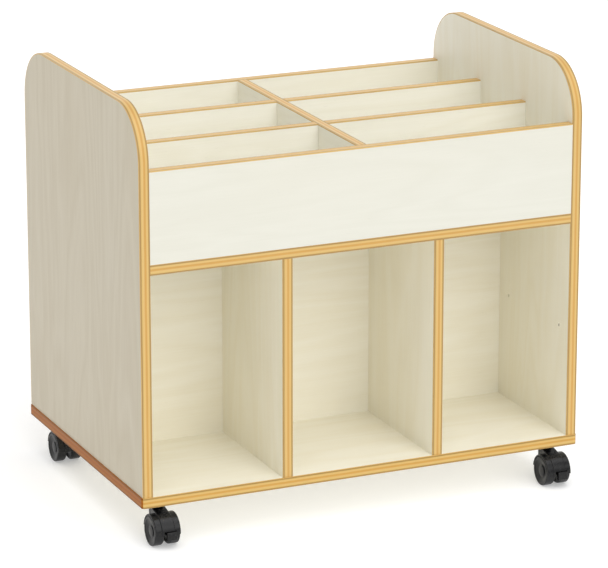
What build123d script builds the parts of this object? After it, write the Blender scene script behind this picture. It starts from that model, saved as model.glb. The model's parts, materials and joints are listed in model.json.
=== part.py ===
from build123d import *
import os
from math import cos, radians, sin

# Double-sided book cart: laminated boards with plywood-look edging on four twin-wheel casters.
#
# Frame: origin on the floor under the middle of the whole cart, X to the right, -Y is the
# front, Z up. All sizes are in millimetres.

os.makedirs("parts", exist_ok=True)

# ---------------------------------------------------------------- driving dimensions
board = 18.0  # thickness of every board
edging = 2.0  # thickness of the edging strips
edge_round = 0.9  # rounding along the strips' outer edges
cart_width = 800.0  # over the side panels
cart_depth = 534.0  # over the side panels
base_overhang = 2.0  # the base board stands out all round
base_corner = 6.0  # plan radius of the base board's corners
side_height = 651.0  # side panel, from the base board's top
side_corner = 90.0  # radius of a side panel's upper corners
lower_height = 378.0  # clear height of the lower compartments
bin_height = 156.0  # height of the upper panels
row_pitch = 172.0  # front face to front face of the upper rows
bays = (232.5, 258.0, 237.5)  # clear widths of the lower compartments
slot_play = 0.3  # halving joints of the upper dividers

caster_height = 70.0
caster_inset = 40.0  # swivel axis, in from both edges of the base board
caster_trail = 26.0  # axle, in front of the swivel axis
wheel_radius = 25.0
wheel_width = 18.0
wheel_gap = 9.0  # between the two wheels of a caster

# ---------------------------------------------------------------- derived places
base_width = cart_width + 2 * base_overhang
base_depth = cart_depth + 2 * base_overhang
tab_reach = 34.0  # brake tab's tip, in front of the axle
front_reach = caster_trail + tab_reach - caster_inset  # tabs stand out in front of the base
overall_depth = base_depth + front_reach

base_front = -overall_depth / 2 + front_reach
base_back = base_front + base_depth
front = base_front + base_overhang
back = front + cart_depth
left = -cart_width / 2
right = cart_width / 2
inner_left = left + board
inner_right = right - board
middle_y = (front + back) / 2

base_bottom = caster_height
base_top = base_bottom + board
shelf_bottom = base_top + lower_height
shelf_top = shelf_bottom + board
bin_top = shelf_top + bin_height
side_top = base_top + side_height
slot_height = (shelf_top + bin_top) / 2  # the halving joints meet here

row_fronts = [front + row_pitch * row for row in range(4)]
row_names = ["front_panel", "row_divider_front", "row_divider_rear", "rear_panel"]
lower_panel_front = middle_y - board / 2
lower_panel_back = middle_y + board / 2
lower_divider_left = [inner_left + bays[0], inner_left + bays[0] + board + bays[1]]
centre_left = -board / 2
centre_right = board / 2

# ---------------------------------------------------------------- dowels and screws
dowel_radius = 4.0
dowel_half = 15.0  # in an end-grain board
dowel_face = 8.0  # in the face of the other board
dowel_chamfer = 0.8
screw_radius = 3.5
screw_head_radius = 5.0
screw_head_height = 3.5
screw_socket_radius = 2.3
screw_socket_depth = 2.5
screw_reach = 32.0  # above the base board
screw_tip_gap = 1.0  # left free at the end of each screw hole
plate_screw_radius = 2.0
plate_screw_reach = 14.0  # above the caster plate
plate_screw_spacing = 31.0

dowel_ys = [front + 60, middle_y, back - 60]
lower_front_ys = [front + 60, front + 200]
lower_back_ys = [back - 200, back - 60]
upper_xs = [-250.0, 250.0]
panel_xs = [-270.0, 0.0, 270.0]
upper_dowel_zs = [shelf_top + 40, shelf_top + 116]

swivel_x = base_width / 2 - caster_inset
swivel_front = base_front + caster_inset
swivel_back = base_back - caster_inset
corners = {
    "front_left": (-swivel_x, swivel_front),
    "front_right": (swivel_x, swivel_front),
    "rear_left": (-swivel_x, swivel_back),
    "rear_right": (swivel_x, swivel_back),
}


def side_dowels():
    """Dowels that run across the cart, from the side panels into the boards between them.

    Each is (start point, direction, length), starting in the side panel."""
    places = [(y, (shelf_bottom + shelf_top) / 2) for y in dowel_ys]
    places += [(y + board / 2, z) for y in row_fronts for z in upper_dowel_zs]
    length = dowel_face + dowel_half
    starts = [((inner_left - dowel_face, y, z), (1, 0, 0), length) for y, z in places]
    starts += [((inner_right + dowel_face, y, z), (-1, 0, 0), length) for y, z in places]
    return starts


def shelf_dowels():
    """Upright dowels between the shelf and the boards that stand under and on it."""
    under = [(x + board / 2, y) for x in lower_divider_left for y in lower_front_ys + lower_back_ys]
    under += [(x, middle_y) for x in panel_xs]
    over = [(x, y + board / 2) for y in row_fronts for x in upper_xs]
    over += [(0, front + row_pitch * row + board + 60) for row in (0, 2)]
    length = dowel_face + dowel_half
    return [((x, y, shelf_bottom + dowel_face), (0, 0, -1), length) for x, y in under] + [
        ((x, y, shelf_top - dowel_face), (0, 0, 1), length) for x, y in over
    ]


def base_screw_points():
    """Points on the base board's underside where screws go up into the standing boards."""
    points = [(x, y) for x in (left + board / 2, right - board / 2) for y in dowel_ys]
    points += [(x + board / 2, y) for x in lower_divider_left for y in lower_front_ys + lower_back_ys]
    points += [(x, middle_y) for x in panel_xs]
    return points


def caster_screw_points():
    """Four points round each swivel axis, on the base board's underside."""
    half = plate_screw_spacing / 2
    points = []
    for x, y in corners.values():
        points += [(x + a * half, y + b * half) for a in (-1, 1) for b in (-1, 1)]
    return points


def rods(starts, radius):
    """Straight round rods, made or cut in the part that is being built."""
    for start, direction, length, mode in starts:
        with BuildSketch(Plane(origin=start, z_dir=direction)) as section:
            Circle(radius)
        extrude(section.sketch, amount=length, mode=mode)


def crosses(low, high, start, direction, length, radius):
    """Whether a rod reaches into the box from low to high."""
    end = [start[i] + direction[i] * length for i in range(3)]
    for i in range(3):
        reach = 0 if direction[i] else radius
        if max(start[i], end[i]) + reach <= low[i] + 0.01:
            return False
        if min(start[i], end[i]) - reach >= high[i] - 0.01:
            return False
    return True


def drill(low, high):
    """Cut the holes for every dowel and screw that reaches into the board being built."""
    fasteners = [(start, way, length, dowel_radius) for start, way, length in side_dowels() + shelf_dowels()]
    screw_length = board + screw_reach
    fasteners += [((x, y, base_bottom), (0, 0, 1), screw_length, screw_radius) for x, y in base_screw_points()]
    fasteners += [
        ((x, y, base_bottom), (0, 0, 1), plate_screw_reach, plate_screw_radius)
        for x, y in caster_screw_points()
    ]
    for start, way, length, radius in fasteners:
        if crosses(low, high, start, way, length, radius):
            rods([(start, way, length, Mode.SUBTRACT)], radius)


def block(low, high):
    """A board's plain body, from its lowest to its highest corner."""
    centre_x = (low[0] + high[0]) / 2
    centre_y = (low[1] + high[1]) / 2
    with BuildSketch(Plane.XY.offset(low[2])) as plan:
        with Locations((centre_x, centre_y)):
            Rectangle(high[0] - low[0], high[1] - low[1])
    extrude(plan.sketch, amount=high[2] - low[2])


def save(piece, name):
    """Label one finished sub-part and write its file."""
    piece.part.label = name
    export_step(piece.part, f"parts/{name}.step")


def plain_board(name, low, high):
    """A flat board with its dowel and screw holes."""
    with BuildPart() as piece:
        block(low, high)
        drill(low, high)
    save(piece, name)


def strip(name, low, high, outward):
    """A straight edging strip, with its two long outer edges rounded."""
    sizes = [high[i] - low[i] for i in range(3)]
    long_axis = (Axis.X, Axis.Y, Axis.Z)[sizes.index(max(sizes))]
    with BuildPart() as piece:
        block(low, high)
        outer = piece.faces().sort_by(outward)[-1]
        fillet(outer.edges().filter_by(long_axis), edge_round)
    save(piece, name)


# ---------------------------------------------------------------- base board
def base_outline(inset):
    """The base board's plan, drawn inset by the given amount."""
    with Locations((0, (base_front + base_back) / 2)):
        RectangleRounded(base_width - 2 * inset, base_depth - 2 * inset, base_corner - inset)


with BuildPart() as base_board:
    with BuildSketch(Plane.XY.offset(base_bottom)):
        base_outline(edging)
    extrude(amount=board)
    drill((left, front, base_bottom), (right, back, base_top))
    with BuildSketch(Plane.XY.offset(base_bottom)):
        with Locations(*base_screw_points()):
            Circle(screw_head_radius)
    extrude(amount=screw_head_height, mode=Mode.SUBTRACT)
save(base_board, "base_board")

with BuildPart() as base_edging:
    with BuildSketch(Plane.XY.offset(base_bottom)):
        base_outline(0)
    extrude(amount=board)
    fillet(base_edging.faces().filter_by(Axis.Z).edges(), edge_round)
    with BuildSketch(Plane.XY.offset(base_bottom)):
        base_outline(edging)
    extrude(amount=board, mode=Mode.SUBTRACT)
save(base_edging, "base_edging")


# ---------------------------------------------------------------- side panels
def side_outline(inset):
    """A side panel's outline: square at the foot, two large rounded corners at the top."""
    height = side_height - inset
    half = cart_depth / 2 - inset
    corner = side_corner - inset
    with BuildLine() as outline:
        Line((-half, 0), (half, 0))
        Line((half, 0), (half, height - corner))
        RadiusArc((half, height - corner), (half - corner, height), -corner)
        Line((half - corner, height), (corner - half, height))
        RadiusArc((corner - half, height), (-half, height - corner), -corner)
        Line((-half, height - corner), (-half, 0))
    make_face(outline.edges())


shelf_pin_radius = 2.5
shelf_pin_depth = 12.0
shelf_pin_height = base_top + 189.0
shelf_pin_ys = (front + 35, lower_panel_front - 35)

for side, outer_x in (("left", left), ("right", inner_right)):
    foot = Plane(origin=(outer_x, middle_y, base_top), x_dir=(0, 1, 0), z_dir=(1, 0, 0))
    with BuildPart() as side_panel:
        with BuildSketch(foot):
            side_outline(edging)
        extrude(amount=board)
        drill((outer_x, front, base_top), (outer_x + board, back, side_top))
        if side == "right":
            pins = [((inner_right, y, shelf_pin_height), (1, 0, 0)) for y in shelf_pin_ys]
            rods([(*pin, shelf_pin_depth, Mode.SUBTRACT) for pin in pins], shelf_pin_radius)
    save(side_panel, f"{side}_side_panel")

    with BuildPart() as side_edging:
        with BuildSketch(foot):
            side_outline(0)
        extrude(amount=board)
        wall = side_edging.faces().filter_by(Axis.X)
        rims = [edge for edge in wall.edges() if edge.center().Z > base_top + 1]
        fillet(rims, edge_round)
        with BuildSketch(foot):
            side_outline(edging)
        extrude(amount=board, mode=Mode.SUBTRACT)
    save(side_edging, f"{side}_side_edging")

# ---------------------------------------------------------------- shelf
shelf_low = (inner_left, front + edging, shelf_bottom)
shelf_high = (inner_right, back - edging, shelf_top)
plain_board("middle_shelf", shelf_low, shelf_high)
strip(
    "shelf_front_edging",
    (inner_left, front, shelf_bottom),
    (inner_right, front + edging, shelf_top),
    -Axis.Y,
)
strip(
    "shelf_rear_edging",
    (inner_left, back - edging, shelf_bottom),
    (inner_right, back, shelf_top),
    Axis.Y,
)

# ---------------------------------------------------------------- lower compartments
plain_board(
    "lower_back_panel",
    (inner_left, lower_panel_front, base_top),
    (inner_right, lower_panel_back, shelf_bottom),
)
for place, divider_x in zip(("left", "right"), lower_divider_left):
    far_x = divider_x + board
    with BuildPart() as lower_divider:
        block((divider_x, front + edging, base_top), (far_x, lower_panel_front, shelf_bottom))
        drill((divider_x, front + edging, base_top), (far_x, lower_panel_front, shelf_bottom))
        if place == "right":
            pins = [((far_x, y, shelf_pin_height), (-1, 0, 0)) for y in shelf_pin_ys]
            rods([(*pin, shelf_pin_depth, Mode.SUBTRACT) for pin in pins], shelf_pin_radius)
    save(lower_divider, f"lower_divider_front_{place}")
    strip(
        f"lower_divider_front_{place}_edging",
        (divider_x, front, base_top),
        (far_x, front + edging, shelf_bottom),
        -Axis.Y,
    )
    plain_board(
        f"lower_divider_rear_{place}",
        (divider_x, lower_panel_back, base_top),
        (far_x, back - edging, shelf_bottom),
    )
    strip(
        f"lower_divider_rear_{place}_edging",
        (divider_x, back - edging, base_top),
        (far_x, back, shelf_bottom),
        Axis.Y,
    )

# ---------------------------------------------------------------- upper rows
board_top = bin_top - edging
for name, row_front in zip(row_names, row_fronts):
    row_back = row_front + board
    is_divider = name.startswith("row_divider")
    with BuildPart() as row:
        block((inner_left, row_front, shelf_top), (inner_right, row_back, board_top))
        drill((inner_left, row_front, shelf_top), (inner_right, row_back, board_top))
        if is_divider:
            with BuildSketch(Plane.XY.offset(slot_height)):
                with Locations((0, row_front + board / 2)):
                    Rectangle(board + slot_play, board)
            extrude(amount=bin_height, mode=Mode.SUBTRACT)
    save(row, name)
    with BuildPart() as row_edging:
        block((inner_left, row_front, board_top), (inner_right, row_back, bin_top))
        upper = row_edging.faces().sort_by(Axis.Z)[-1]
        fillet(upper.edges().filter_by(Axis.X), edge_round)
        if is_divider:
            with BuildSketch(Plane.XY.offset(board_top)):
                with Locations((0, row_front + board / 2)):
                    Rectangle(board + slot_play, board)
            extrude(amount=edging, mode=Mode.SUBTRACT)
    save(row_edging, f"{name}_edging")

divider_low = (centre_left, front + board, shelf_top)
divider_high = (centre_right, row_fronts[3], board_top)
with BuildPart() as centre_divider:
    block(divider_low, divider_high)
    drill(divider_low, divider_high)
    for row_front in row_fronts[1:3]:
        with BuildSketch(Plane.XY.offset(shelf_top)):
            with Locations((0, row_front + board / 2)):
                Rectangle(board, board + slot_play)
        extrude(amount=slot_height - shelf_top, mode=Mode.SUBTRACT)
save(centre_divider, "centre_divider")
strip(
    "centre_divider_edging",
    (centre_left, front + board, board_top),
    (centre_right, row_fronts[3], bin_top),
    Axis.Z,
)

# ---------------------------------------------------------------- dowels and screws
for name, starts in (("side_dowels", side_dowels()), ("shelf_dowels", shelf_dowels())):
    with BuildPart() as dowels:
        rods([(*start, Mode.ADD) for start in starts], dowel_radius)
        chamfer(dowels.edges().filter_by(GeomType.CIRCLE), dowel_chamfer)
    save(dowels, name)

with BuildPart() as base_screws:
    shank = board + screw_reach - screw_tip_gap
    rods([((x, y, base_bottom), (0, 0, 1), shank, Mode.ADD) for x, y in base_screw_points()], screw_radius)
    with BuildSketch(Plane.XY.offset(base_bottom)):
        with Locations(*base_screw_points()):
            Circle(screw_head_radius)
    extrude(amount=screw_head_height)
    with BuildSketch(Plane.XY.offset(base_bottom)):
        with Locations(*base_screw_points()):
            RegularPolygon(screw_socket_radius, 6)
    extrude(amount=screw_socket_depth, mode=Mode.SUBTRACT)
save(base_screws, "base_screws")

# ---------------------------------------------------------------- casters
# Side outlines are points in front of and above the axle; heights over the floor have names.
plate_size = 42.0
plate_thickness = 2.0
plate_corner = 5.0
plate_edge_round = 0.8
plate_hole_radius = 2.25
plate_bottom = base_bottom - plate_thickness
plate_screw_head = (3.6, 1.8, 1.0)  # radius, height and rounding

pin_radius = 4.0
pin_play = 0.05
pin_head_radius = 5.2
pin_head_height = 2.5
pin_head_chamfer = 0.5
pin_head_play = 0.3
pin_shoulder = 44.0  # the pin's head sits under this face of the neck

neck_radius = 12.2
neck_top = plate_bottom - 0.4
neck_bottom = 36.0
neck_round = 0.8

axle_radius = 3.0
axle_half = wheel_gap / 2 + 13.5
axle_chamfer = 0.5
web_half = 3.5  # the hood's web, between the wheels
web_boss = 8.0  # round the axle

cowl_half = 22.2
cowl_inner = 26.2
cowl_band = 28.8  # outer radius of the bands over the two wheels
cowl_end_round = 1.8  # at the cowl's two ends
cowl_cut = [(40, -1.2), (24, -1.2), (7, -7), (-7, -7), (-40, 10), (-40, 40), (40, 40)]
spine_half = 11.7  # the raised middle, nearly as wide as the neck
spine_radius = 30.2
spine_start = -2.2  # the spine's arc, in degrees up from the axle's front
spine_end = 79.0
spine_round = 1.6

tread_inner_round = 4.0
tread_outer_round = 1.4
wheel_play = 0.05
rim_radius = 20.6  # inside the flat ring of the outer face
dish_radius = 12.4
dish_floor = 14.6  # from the wheel's inner face, as are the next three
dish_lip = 17.3
hub_edge = 15.8
hub_top = 16.9
hub_radius = 9.6
axle_socket = 13.9

brake_pivot = Vector(13.6, 6.3)
brake_boss = 3.2
trunnion_radius = 1.5
trunnion_play = 0.1
trunnion_end_play = 0.2
arm_half = 1.5
arm_outline = [(11.6, 3.9), (26.6, -8.6), (28.4, -4.0), (16.0, 8.4)]
slot_half = 1.8
slot_outline = [(9.5, 11), (22.6, 11), (25.2, 5.6), (31, 5.6), (31, -12), (9.5, -12)]
tab_left = -3.6  # from the caster's middle, as are the next three
tab_right = 13.2
notch_left = -7.8
notch_right = 14.2
notch_top = 5.6
tab_outline = [(28.4, 4.6), (32.4, 4.2), (tab_reach, -9.6), (26.4, -9.6)]
tab_round = 1.6
tab_end_round = 0.7


def caster_side(x, y):
    """Side view plane of a caster at its axle: local X to its front, local Y up."""
    return Plane(origin=(x, y - caster_trail, wheel_radius), x_dir=(0, -1, 0), z_dir=(-1, 0, 0))


def side_polygon(plane, points, low_x, high_x, mode=Mode.ADD):
    """A side outline extruded across the caster, from low_x to high_x off its middle."""
    with BuildSketch(plane.offset(-high_x)) as outline:
        with BuildLine() as edge:
            Polyline(*points, close=True)
        make_face(edge.edges())
    extrude(outline.sketch, amount=high_x - low_x, mode=mode)


def side_disc(plane, radius, low_x, high_x, mode=Mode.ADD):
    """A disc about the axle, from low_x to high_x off the caster's middle."""
    with BuildSketch(plane.offset(-high_x)) as outline:
        Circle(radius)
    extrude(outline.sketch, amount=high_x - low_x, mode=mode)


def upright_disc(x, y, radius, bottom, top, mode=Mode.ADD):
    """A disc about the swivel axis, between two heights over the floor."""
    with BuildSketch(Plane.XY.offset(bottom)) as outline:
        with Locations((x, y)):
            Circle(radius)
    extrude(outline.sketch, amount=top - bottom, mode=mode)


def caster_plate(name, x, y):
    """Steel plate under the base board, with four screw holes."""
    with BuildPart() as plate:
        with BuildSketch(Plane.XY.offset(plate_bottom)):
            with Locations((x, y)):
                RectangleRounded(plate_size, plate_size, plate_corner)
                Circle(pin_radius, mode=Mode.SUBTRACT)
                with GridLocations(plate_screw_spacing, plate_screw_spacing, 2, 2):
                    Circle(plate_hole_radius, mode=Mode.SUBTRACT)
        extrude(amount=plate_thickness)
        lower = plate.faces().sort_by(Axis.Z)[0]
        fillet(lower.outer_wire().edges(), plate_edge_round)
    save(plate, f"caster_{name}_plate")


def caster_pin(name, x, y):
    """Swivel pin, riveted into the plate, with the head that holds the hood up."""
    head_top = pin_shoulder - pin_head_play
    with BuildPart() as pin:
        upright_disc(x, y, pin_head_radius, head_top - pin_head_height, head_top)
        chamfer(pin.edges().filter_by(GeomType.CIRCLE), pin_head_chamfer)
        upright_disc(x, y, pin_radius, head_top, base_bottom)
    save(pin, f"caster_{name}_pin")


def spine_outline():
    """The hood's raised middle: an arc over the wheels, and its tangent line up to the neck."""
    end = radians(spine_end)
    line_top = (spine_radius + caster_trail * cos(end)) / sin(end)
    with BuildLine() as outline:
        arc = CenterArc((0, 0), spine_radius, spine_start, spine_end - spine_start)
        Polyline(arc @ 1, (-caster_trail, line_top), (-caster_trail, 0), (0, 0), arc @ 0)
    make_face(outline.edges())


def caster_hood(name, x, y, braked):
    """Cowl over both wheels, the web between them and the swivel neck, in one moulding."""
    side = caster_side(x, y)
    across = Plane(origin=side.origin, x_dir=(1, 0, 0), z_dir=(0, -1, 0))
    with BuildPart() as hood:
        with BuildSketch(side.offset(-spine_half)):
            spine_outline()
        extrude(amount=2 * spine_half)
        ridges = hood.faces().filter_by(Axis.X).edges()
        top_lines = ridges.filter_by(GeomType.LINE).group_by(Axis.Z)[-1]
        fillet(ridges.filter_by(GeomType.CIRCLE) + top_lines, spine_round)
        with BuildSketch(across):
            with Locations((0, cowl_band / 2)):
                band = Rectangle(2 * cowl_half, cowl_band)
            fillet(band.vertices().group_by(Axis.Y)[-1], cowl_end_round)
        revolve(axis=Axis(side.origin, (1, 0, 0)))
        side_polygon(side, cowl_cut, -cowl_half, cowl_half, Mode.INTERSECT)
        upright_disc(x, y, neck_radius, neck_bottom, neck_top)
        fillet(hood.faces().sort_by(Axis.Z)[-1].edges(), neck_round)
        # room for the wheels on both sides of the web
        side_disc(side, cowl_inner, web_half, cowl_half + 1, Mode.SUBTRACT)
        side_disc(side, cowl_inner, -cowl_half - 1, -web_half, Mode.SUBTRACT)
        side_disc(side, web_boss, -web_half, web_half)
        side_disc(side, axle_radius, -web_half, web_half, Mode.SUBTRACT)
        upright_disc(x, y, pin_radius + pin_play, neck_bottom, neck_top, Mode.SUBTRACT)
        upright_disc(x, y, pin_head_radius + pin_head_play, neck_bottom, pin_shoulder, Mode.SUBTRACT)
        if braked:
            side_polygon(side, slot_outline, -slot_half, slot_half, Mode.SUBTRACT)
            notch = [(24, notch_top), (40, notch_top), (40, -12), (24, -12)]
            side_polygon(side, notch, notch_left, notch_right, Mode.SUBTRACT)
            with BuildSketch(side):
                with Locations(brake_pivot):
                    Circle(trunnion_radius + trunnion_play)
            extrude(amount=web_half, both=True, mode=Mode.SUBTRACT)
    save(hood, f"caster_{name}_hood")


def caster_axle(name, x, y):
    """Steel axle pressed into the web."""
    with BuildPart() as axle:
        side_disc(caster_side(x, y), axle_radius, -axle_half, axle_half)
        chamfer(axle.edges().filter_by(GeomType.CIRCLE), axle_chamfer)
    save(axle, f"caster_{name}_axle")


def caster_wheel(name, x, y, hand):
    """One wheel: a rounded tread, a flat ring, a dished face and a domed hub."""
    inner_x = x + hand * wheel_gap / 2
    section = Plane(
        origin=(inner_x, y - caster_trail, wheel_radius), x_dir=(hand, 0, 0), z_dir=(0, -hand, 0)
    )
    bore = axle_radius + wheel_play
    hub_rise = hub_top - hub_edge
    hub_crown = (hub_rise**2 + hub_radius**2) / (2 * hub_rise)
    with BuildPart() as wheel:
        with BuildSketch(section) as profile:
            with BuildLine():
                Polyline((0, bore), (0, 8), (2.5, 9), (2.5, 20), (0, 21), (0, wheel_radius))
                Polyline((0, wheel_radius), (wheel_width, wheel_radius), (wheel_width, rim_radius))
                Polyline((wheel_width, rim_radius), (dish_lip, rim_radius), (dish_floor, dish_radius))
                Polyline((dish_floor, dish_radius), (dish_floor, hub_radius), (hub_edge, hub_radius))
                RadiusArc((hub_edge, hub_radius), (hub_top, 0), hub_crown)
                Polyline((hub_top, 0), (axle_socket, 0), (axle_socket, bore), (0, bore))
            make_face()
            tread = profile.vertices().group_by(Axis.Y)[-1].sort_by(Axis.X)
            fillet(tread[0], tread_inner_round)
            fillet(profile.vertices().group_by(Axis.Y)[-1].sort_by(Axis.X)[-1], tread_outer_round)
        revolve(axis=Axis(section.origin, (1, 0, 0)))
    side_name = "left" if hand < 0 else "right"
    save(wheel, f"caster_{name}_{side_name}_wheel")


def caster_brake(name, x, y):
    """Brake pedal: a tab in the cowl's notch on an arm that turns in the web."""
    side = caster_side(x, y)
    with BuildPart() as brake:
        for radius, half in ((trunnion_radius, web_half - trunnion_end_play), (brake_boss, arm_half)):
            with BuildSketch(side):
                with Locations(brake_pivot):
                    Circle(radius)
            extrude(amount=half, both=True)
        side_polygon(side, arm_outline, -arm_half, arm_half)
        with BuildSketch(side.offset(-tab_right)):
            with BuildLine():
                Polyline(*tab_outline, close=True)
            tab = make_face()
            fillet(tab.vertices().sort_by(Axis.X)[-2:], tab_round)
        extrude(amount=tab_right - tab_left)
        ends = brake.faces().filter_by(Axis.X).sort_by(Axis.X)
        fillet(ends[0].edges() + ends[-1].edges(), tab_end_round)
    save(brake, f"caster_{name}_brake")


for corner_name, (corner_x, corner_y) in corners.items():
    has_brake = corner_name.startswith("front")
    caster_plate(corner_name, corner_x, corner_y)
    caster_pin(corner_name, corner_x, corner_y)
    caster_hood(corner_name, corner_x, corner_y, has_brake)
    caster_axle(corner_name, corner_x, corner_y)
    caster_wheel(corner_name, corner_x, corner_y, -1)
    caster_wheel(corner_name, corner_x, corner_y, 1)
    if has_brake:
        caster_brake(corner_name, corner_x, corner_y)

with BuildPart() as caster_screws:
    head_radius, head_height, head_round = plate_screw_head
    shank = plate_thickness + plate_screw_reach - screw_tip_gap
    starts = [((px, py, plate_bottom), (0, 0, 1), shank, Mode.ADD) for px, py in caster_screw_points()]
    rods(starts, plate_screw_radius)
    with BuildSketch(Plane.XY.offset(plate_bottom)):
        with Locations(*caster_screw_points()):
            Circle(head_radius)
    extrude(amount=-head_height)
    fillet(caster_screws.faces().sort_by(Axis.Z)[: len(starts)].edges(), head_round)
save(caster_screws, "caster_screws")
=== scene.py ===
"""Looks of the double-sided book cart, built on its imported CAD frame.

Every CAD node keeps its shape and gets a procedural material in metres: maple melamine on the
boards, layered plywood-look edging, beech dowels, black nylon casters and zinc-plated steel.
"""
import json
from math import cos, radians, sin

import bpy
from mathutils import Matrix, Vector


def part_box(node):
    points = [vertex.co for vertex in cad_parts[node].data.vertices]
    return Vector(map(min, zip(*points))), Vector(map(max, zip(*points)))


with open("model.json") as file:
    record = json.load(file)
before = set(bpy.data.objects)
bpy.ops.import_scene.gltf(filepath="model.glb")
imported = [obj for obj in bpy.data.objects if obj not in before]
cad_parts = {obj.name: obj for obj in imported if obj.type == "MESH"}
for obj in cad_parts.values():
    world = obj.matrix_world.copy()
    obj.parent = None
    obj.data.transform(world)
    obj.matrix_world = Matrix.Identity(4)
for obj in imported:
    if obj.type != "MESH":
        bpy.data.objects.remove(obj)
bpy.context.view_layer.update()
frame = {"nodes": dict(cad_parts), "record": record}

BOARD = 0.018  # thickness of every board, and so the width of every edging strip
EDGING = 0.002  # thickness of the edging strips
EDGING_GLOSS = 0.4
BASE_EDGING_GLOSS = 0.12  # the base board's strip is the dullest
AXES = {"X": 0, "Y": 1, "Z": 2}


# ---------------------------------------------------------------- node helpers
class Nodes:
    """A short way to build one material's node tree."""

    def __init__(self, name):
        self.material = bpy.data.materials.new(name)
        self.material.use_nodes = True
        self.tree = self.material.node_tree
        self.shader = self.tree.nodes["Principled BSDF"]
        self.place = self.tree.nodes.new("ShaderNodeTexCoord").outputs["Object"]

    def new(self, kind, **settings):
        node = self.tree.nodes.new(kind)
        for key, value in settings.items():
            setattr(node, key, value)
        return node

    def join(self, source, target):
        self.tree.links.new(source, target)

    def feed(self, socket, value):
        """A number, a colour or another node's output goes into a socket."""
        if isinstance(value, (int, float, tuple)):
            socket.default_value = value
        else:
            self.join(value, socket)

    def scaled(self, x, y, z, offset=(0, 0, 0)):
        """Object coordinates stretched by one factor for each axis."""
        node = self.new("ShaderNodeMapping")
        self.join(self.place, node.inputs["Vector"])
        node.inputs["Scale"].default_value = (x, y, z)
        node.inputs["Location"].default_value = offset
        return node.outputs["Vector"]

    def noise(self, vector, detail, roughness=0.5, distortion=0.0):
        """Noise of about one unit; the vector's own scale sets its size."""
        node = self.new("ShaderNodeTexNoise")
        self.join(vector, node.inputs["Vector"])
        node.inputs["Scale"].default_value = 1.0
        node.inputs["Detail"].default_value = detail
        node.inputs["Roughness"].default_value = roughness
        node.inputs["Distortion"].default_value = distortion
        return node.outputs["Fac"]

    def math(self, kind, first, second=0.0):
        node = self.new("ShaderNodeMath", operation=kind)
        for socket, value in zip(node.inputs, (first, second)):
            self.feed(socket, value)
        return node.outputs["Value"]

    def span(self, value, from_low, from_high, to_low=0.0, to_high=1.0, smooth=False):
        """Maps a value's range to another, clamped."""
        node = self.new("ShaderNodeMapRange", clamp=True)
        if smooth:
            node.interpolation_type = "SMOOTHSTEP"
        self.feed(node.inputs["Value"], value)
        for key, number in (
            ("From Min", from_low),
            ("From Max", from_high),
            ("To Min", to_low),
            ("To Max", to_high),
        ):
            node.inputs[key].default_value = number
        return node.outputs["Result"]

    def ramp(self, value, stops):
        """Colour ramp from (place, colour) stops."""
        node = self.new("ShaderNodeValToRGB")
        self.feed(node.inputs["Fac"], value)
        elements = node.color_ramp.elements
        while len(elements) < len(stops):
            elements.new(0.5)
        for element, (place, colour) in zip(elements, stops):
            element.position = place
            element.color = (*colour, 1.0)
        return node.outputs["Color"]

    def mix(self, factor, first, second, kind="MIX"):
        """Blend of two colours."""
        node = self.new("ShaderNodeMix", data_type="RGBA", blend_type=kind)
        sockets = [s for s in node.inputs if s.enabled]
        self.feed(sockets[0], factor)
        for socket, value in zip(sockets[1:], (first, second)):
            self.feed(socket, (*value, 1.0) if isinstance(value, tuple) and len(value) == 3 else value)
        return [s for s in node.outputs if s.enabled][0]

    def axis(self, name):
        node = self.new("ShaderNodeSeparateXYZ")
        self.join(self.place, node.inputs["Vector"])
        return node.outputs[name]

    def bump(self, height, distance, strength=1.0):
        node = self.new("ShaderNodeBump")
        node.inputs["Distance"].default_value = distance
        node.inputs["Strength"].default_value = strength
        self.join(height, node.inputs["Height"])
        self.join(node.outputs["Normal"], self.shader.inputs["Normal"])

    def finish(self, colour, roughness, **plain):
        self.feed(self.shader.inputs["Base Color"], colour)
        self.feed(self.shader.inputs["Roughness"], roughness)
        for key, value in plain.items():
            self.shader.inputs[key.replace("_", " ")].default_value = value
        return self.material


def along(grain, length_scale, cross_scale):
    """Scale factors with the small one along the grain's axis."""
    return [length_scale if axis == grain else cross_scale for axis in "XYZ"]


# ---------------------------------------------------------------- materials
FLECK = (0.80, 0.80, 0.80)  # short flecks, as a share of the board's darker tone
BROAD_CLOUDS = (0.95, 0.88, 0.74)  # where broad clouds warm the board
PLY_STREAKS = (0.86, 0.72, 0.52)  # the darkest streaks, as a share of the ply's tone
HOOD_BLACK = (0.005, 0.005, 0.0055)
WHEEL_BLACK = (0.008, 0.008, 0.0085)
BASE_SIDE_SHADE = (0.58, 0.29, 0.05)  # painted shade on the base board's short sides, darker and browner, as a share of its front edge
GLUE_LINE = (0.400, 0.245, 0.080)
GOLD_PLY = (0.675, 0.455, 0.155)
PALE_PLY = (0.715, 0.500, 0.190)
CORE_PLY = (0.620, 0.350, 0.090)
PLY_LAYERS = [  # share of the strip's width, and the tone there
    (0.00, GOLD_PLY),
    (0.05, GLUE_LINE),
    (0.13, GLUE_LINE),
    (0.20, GOLD_PLY),
    (0.36, PALE_PLY),
    (0.47, CORE_PLY),
    (0.60, CORE_PLY),
    (0.68, PALE_PLY),
    (0.80, GOLD_PLY),
    (0.87, GLUE_LINE),
    (0.94, GLUE_LINE),
    (1.00, GOLD_PLY),
]


def beyond(n, axis, distance):
    """One where the surface is further than distance from the cart's middle, and zero elsewhere."""
    return n.math("GREATER_THAN", n.math("ABSOLUTE", n.axis(axis)), distance)


def board_tones(n, light, dark, outer):
    """A board's light and dark tones, which change at the middle of its thickness to the outer face's
    painted-shade tones.
    """
    axis, middle, outer_light, outer_dark = outer
    outside = beyond(n, axis, middle)
    return n.mix(outside, light, outer_light), n.mix(outside, dark, outer_dark)


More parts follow.
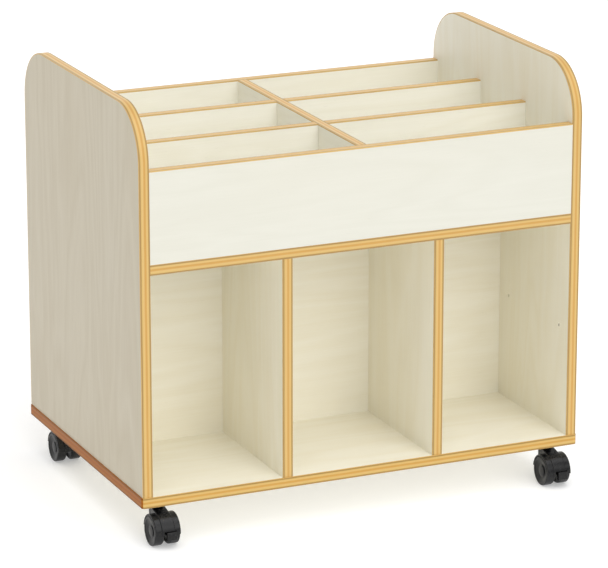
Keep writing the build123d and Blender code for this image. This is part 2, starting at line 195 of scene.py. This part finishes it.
def maple(name, grain, light, dark, seed, outer=None):
    """Pale maple melamine: broad figure, fine fibres and short flecks along the grain.

    Some boards get painted shade: darker tones on the outer face. For those, outer gives the axis
    across the board, the middle of its thickness, and the outer light and dark tones.
    """
    n = Nodes(name)
    if outer:
        light, dark = board_tones(n, light, dark, outer)
    shift = (seed * 1.7, seed * 2.3, seed * 0.9)
    figure = n.noise(n.scaled(*along(grain, 0.9, 7.0), shift), 3.0, roughness=0.55, distortion=0.6)
    rings = n.math("PINGPONG", n.math("MULTIPLY", figure, 9.0), 0.5)
    fibres = n.noise(n.scaled(*along(grain, 14.0, 520.0), shift), 2.0, roughness=0.6)
    flecks = n.noise(n.scaled(*along(grain, 55.0, 420.0), shift), 1.0, roughness=0.4)
    fleck = n.span(flecks, 0.70, 0.80, 0.0, 0.35, smooth=True)
    clouds = n.noise(n.scaled(*along(grain, 2.0, 5.0), shift), 2.0)
    tone = n.math("ADD", n.math("MULTIPLY", rings, 0.55), n.math("MULTIPLY", fibres, 0.45))
    colour = n.mix(n.span(tone, 0.15, 0.75), light, dark)
    colour = n.mix(n.math("MULTIPLY", fleck, 0.5), colour, n.mix(1.0, dark, FLECK, "MULTIPLY"))
    colour = n.mix(n.span(clouds, 0.3, 0.7, 0.0, 0.12), colour, BROAD_CLOUDS, "MULTIPLY")
    n.bump(fibres, 0.00003, 0.6)
    roughness = n.span(fibres, 0.2, 0.8, 0.36, 0.46)
    return n.finish(colour, roughness, Specular_IOR_Level=0.45)


def ply_edging(name, axis, start, seed, ends, gloss):
    """Layers of wood across the strip's width: dark glue lines, gold plies, an orange core.

    Further than ends from the cart's middle along X, the strip is darker and browner: painted shade.
    """
    n = Nodes(name)
    shift = (seed * 3.1, seed * 1.3, seed * 2.7)
    wander = n.noise(n.scaled(6.0, 6.0, 6.0, shift), 2.0)
    across = n.math("DIVIDE", n.math("SUBTRACT", n.axis(axis), start), BOARD)
    across = n.math("ADD", across, n.span(wander, 0.3, 0.7, -0.015, 0.015))
    layers = n.ramp(across, PLY_LAYERS)
    fine = [900.0 if a == axis else 9.0 for a in "XYZ"]
    streaks = n.noise(n.scaled(*fine, shift), 2.0, roughness=0.6)
    colour = n.mix(n.span(streaks, 0.25, 0.75, 0.0, 0.30), layers, PLY_STREAKS, "MULTIPLY")
    if ends:
        # painted shade on the base strip's short sides
        colour = n.mix(beyond(n, "X", ends), colour, BASE_SIDE_SHADE, "MULTIPLY")
    n.bump(streaks, 0.00004, 0.6)
    return n.finish(colour, n.span(streaks, 0.2, 0.8, 0.30, 0.42), Specular_IOR_Level=gloss)


def nylon(name, base, rough, grain_depth):
    """Black moulded nylon: fine moulded grain, a little lighter dust and handling marks."""
    n = Nodes(name)
    grain = n.noise(n.scaled(2600.0, 2600.0, 2600.0), 2.0)
    smears = n.noise(n.scaled(60.0, 60.0, 60.0), 3.0, roughness=0.6, distortion=0.4)
    colour = n.mix(n.span(smears, 0.35, 0.75, 0.0, 0.5), base, tuple(c * 1.7 for c in base))
    n.bump(grain, grain_depth, 0.7)
    roughness = n.span(smears, 0.3, 0.7, rough - 0.05, rough + 0.07)
    return n.finish(colour, roughness, Specular_IOR_Level=0.35)


def zinc_steel(name):
    """Zinc-plated steel with fine drawn lines and slight mottling."""
    n = Nodes(name)
    lines = n.noise(n.scaled(90.0, 3000.0, 90.0), 2.0)
    mottle = n.noise(n.scaled(240.0, 240.0, 240.0), 3.0)
    colour = n.ramp(mottle, [(0.3, (0.52, 0.53, 0.55)), (0.7, (0.66, 0.66, 0.66))])
    n.bump(lines, 0.00002, 0.5)
    return n.finish(colour, n.span(lines, 0.2, 0.8, 0.28, 0.42), Metallic=1.0)


def beech(name):
    """Turned beech dowels with fine rays."""
    n = Nodes(name)
    rays = n.noise(n.scaled(300.0, 300.0, 300.0), 3.0)
    colour = n.ramp(rays, [(0.3, (0.50, 0.33, 0.18)), (0.7, (0.62, 0.44, 0.26))])
    n.bump(rays, 0.00005, 0.5)
    return n.finish(colour, n.span(rays, 0.2, 0.8, 0.6, 0.75))


def dress(node, material):
    """Give a CAD node its one material."""
    mesh = frame["nodes"][node].data
    mesh.materials.clear()
    mesh.materials.append(material)
    for polygon in mesh.polygons:
        polygon.material_index = 0


# ---------------------------------------------------------------- boards
MAPLE_LIGHT = (0.945, 0.915, 0.800)
MAPLE_DARK = (0.885, 0.835, 0.680)
TRAY_LIGHT = (0.940, 0.925, 0.840)
TRAY_DARK = (0.885, 0.860, 0.750)
# painted shade: the side panels' outer faces, darker than the board's own tones
SHADED_SIDE_LIGHT = (0.590, 0.530, 0.405)
SHADED_SIDE_DARK = (0.515, 0.447, 0.318)
# painted shade: the front and rear panels' outer faces, darker than the board's inside
SHADED_PANEL_LIGHT = (0.745, 0.735, 0.655)
SHADED_PANEL_DARK = (0.710, 0.700, 0.615)
TRAY_BOARDS = ("front_panel", "row_divider_front", "row_divider_rear", "rear_panel", "centre_divider")
SHADED_OUTER_FACES = {  # boards with painted shade outside, darker outer tones: the axis across them, and those tones
    "left_side_panel": ("X", SHADED_SIDE_LIGHT, SHADED_SIDE_DARK),
    "right_side_panel": ("X", SHADED_SIDE_LIGHT, SHADED_SIDE_DARK),
    "front_panel": ("Y", SHADED_PANEL_LIGHT, SHADED_PANEL_DARK),
    "rear_panel": ("Y", SHADED_PANEL_LIGHT, SHADED_PANEL_DARK),
}


def grain_axis(node):
    """Grain runs along a board's longest side."""
    low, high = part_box(node)
    size = high - low
    return max("XYZ", key=lambda axis: size[AXES[axis]])


def stripe_axis(node):
    """The axis across an edging strip: the one whose extent is a board's thickness."""
    low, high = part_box(node)
    size = high - low
    return min("XYZ", key=lambda axis: abs(size[AXES[axis]] - BOARD))


def shaded_outer_face(node):
    """The axis across the board, the middle of its thickness, and the outer tones of painted shade."""
    axis, light, dark = SHADED_OUTER_FACES[node]
    low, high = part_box(node)
    middle = abs(low[AXES[axis]] + high[AXES[axis]]) / 2
    return axis, middle, light, dark


def nodes_of(slot):
    """Names of the CAD nodes in a material slot, in a fixed order."""
    return sorted(s["node"] for s in frame["record"]["subparts"] if s["material_slot"] == slot)


def dress_boards():
    for seed, node in enumerate(nodes_of("maple_board"), start=1):
        outer = shaded_outer_face(node) if node in SHADED_OUTER_FACES else None
        in_tray = node in TRAY_BOARDS
        light, dark = (TRAY_LIGHT, TRAY_DARK) if in_tray else (MAPLE_LIGHT, MAPLE_DARK)
        dress(node, maple(f"maple_{node}", grain_axis(node), light, dark, seed, outer))


def dress_edging():
    for seed, node in enumerate(nodes_of("ply_edging"), start=1):
        axis = stripe_axis(node)
        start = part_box(node)[0][AXES[axis]]
        base = node == "base_edging"
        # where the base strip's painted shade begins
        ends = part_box(node)[1].x - EDGING if base else None
        gloss = BASE_EDGING_GLOSS if base else EDGING_GLOSS
        dress(node, ply_edging(f"ply_{node}", axis, start, seed, ends, gloss))


def dress_hardware():
    looks = {
        "steel": zinc_steel("zinc_steel"),
        "dowel_wood": beech("beech_dowel"),
        "hood_nylon": nylon("hood_nylon", HOOD_BLACK, 0.24, 0.00001),
        "wheel_nylon": nylon("wheel_nylon", WHEEL_BLACK, 0.34, 0.00002),
    }
    for slot, material in looks.items():
        for node in nodes_of(slot):
            dress(node, material)


dress_boards()
dress_edging()
dress_hardware()


# ---------------------------------------------------------------- stage, light and camera
WHITE = (1.0, 1.0, 1.0)
FLOOR_TONE = (0.76, 0.76, 0.76)
FLOOR_HALF = 30.0  # half the floor's side
FLOOR_GLOW = 0.32  # a lit floor, which keeps the shadows faint
WORLD_STRENGTH = 0.34
BACKDROP_STRENGTH = 1.1  # the world's strength straight behind the cart
BACKDROP_START = 0.25  # share of +Y in a direction where the backdrop begins
BACKDROP_FULL = 0.85  # and where it is at full strength
KEY_TOWARDS = (0.05, -0.86, 0.50)
KEY_STRENGTH = 1.08
KEY_SOFTNESS = 50.0  # the light's width in degrees
KEY_COLOUR = (1.0, 1.0, 0.99)
TOP_TOWARDS = (0.0, -0.25, 1.0)
TOP_STRENGTH = 1.6
TOP_SOFTNESS = 60.0
SENSOR = 36.0
CAMERA_PLACE = (-2.4493, -5.5017, 2.1420)
CAMERA_YAW = 24.025  # right of straight ahead, in degrees
CAMERA_PITCH = 16.695  # below the horizon
CAMERA_FOCAL = 6.0079  # focal length over image width
CAMERA_REACH = 50.0


def plain(name, colour, rough):
    """A matt, nearly even surface."""
    n = Nodes(name)
    grain = n.noise(n.scaled(40.0, 40.0, 40.0), 2.0)
    tone = n.mix(n.span(grain, 0.3, 0.7, 0.0, 0.02), colour, tuple(c * 0.96 for c in colour))
    return n.finish(tone, rough, Specular_IOR_Level=0.2)


def make_floor():
    """The wide pale floor that the cart stands on."""
    mesh = bpy.data.meshes.new("studio_floor")
    half = FLOOR_HALF
    corners = [(-half, -half, 0), (half, -half, 0), (half, half, 0), (-half, half, 0)]
    mesh.from_pydata(corners, [], [(0, 1, 2, 3)])
    floor = bpy.data.objects.new("studio_floor", mesh)
    bpy.context.scene.collection.objects.link(floor)
    white = plain("studio_white", FLOOR_TONE, 0.9)
    shader = white.node_tree.nodes["Principled BSDF"]
    shader.inputs["Emission Color"].default_value = (*WHITE, 1.0)
    shader.inputs["Emission Strength"].default_value = FLOOR_GLOW
    mesh.materials.append(white)


def sun_light(name, towards, strength, softness, colour):
    """A far light, so that the floor is evenly bright; towards points at the light."""
    data = bpy.data.lights.new(name, "SUN")
    data.energy = strength
    data.angle = radians(softness)
    data.color = colour
    light = bpy.data.objects.new(name, data)
    light.rotation_euler = (-Vector(towards)).to_track_quat("-Z", "Y").to_euler()
    bpy.context.scene.collection.objects.link(light)


def make_world():
    """Even studio light, with a brighter backdrop behind the cart that the glossy faces mirror."""
    world = bpy.data.worlds.new("studio_world")
    world.use_nodes = True
    nodes, links = world.node_tree.nodes, world.node_tree.links
    direction = nodes.new("ShaderNodeTexCoord")
    split = nodes.new("ShaderNodeSeparateXYZ")
    level = nodes.new("ShaderNodeMapRange")
    level.interpolation_type = "SMOOTHSTEP"
    level.inputs["From Min"].default_value = BACKDROP_START
    level.inputs["From Max"].default_value = BACKDROP_FULL
    level.inputs["To Min"].default_value = WORLD_STRENGTH
    level.inputs["To Max"].default_value = BACKDROP_STRENGTH
    links.new(direction.outputs["Generated"], split.inputs["Vector"])
    links.new(split.outputs["Y"], level.inputs["Value"])
    links.new(level.outputs["Result"], nodes["Background"].inputs["Strength"])
    nodes["Background"].inputs["Color"].default_value = (*WHITE, 1.0)
    bpy.context.scene.world = world


def make_light():
    """A broad key light from the front, a broad light from above, and the world's light."""
    make_world()
    sun_light("key_light", KEY_TOWARDS, KEY_STRENGTH, KEY_SOFTNESS, KEY_COLOUR)
    sun_light("top_light", TOP_TOWARDS, TOP_STRENGTH, TOP_SOFTNESS, WHITE)


def make_camera():
    """Long lens from the cart's front left, about 17 degrees above the horizon."""
    data = bpy.data.cameras.new("camera")
    data.sensor_width = SENSOR
    data.lens = SENSOR * CAMERA_FOCAL
    data.clip_end = CAMERA_REACH
    camera = bpy.data.objects.new("camera", data)
    yaw, pitch = radians(CAMERA_YAW), radians(CAMERA_PITCH)
    forward = Vector((sin(yaw) * cos(pitch), cos(yaw) * cos(pitch), -sin(pitch)))
    camera.location = CAMERA_PLACE
    camera.rotation_euler = forward.to_track_quat("-Z", "Y").to_euler()
    bpy.context.scene.collection.objects.link(camera)
    bpy.context.scene.camera = camera


make_floor()
make_light()
make_camera()
bpy.context.scene.view_settings.view_transform = "Standard"
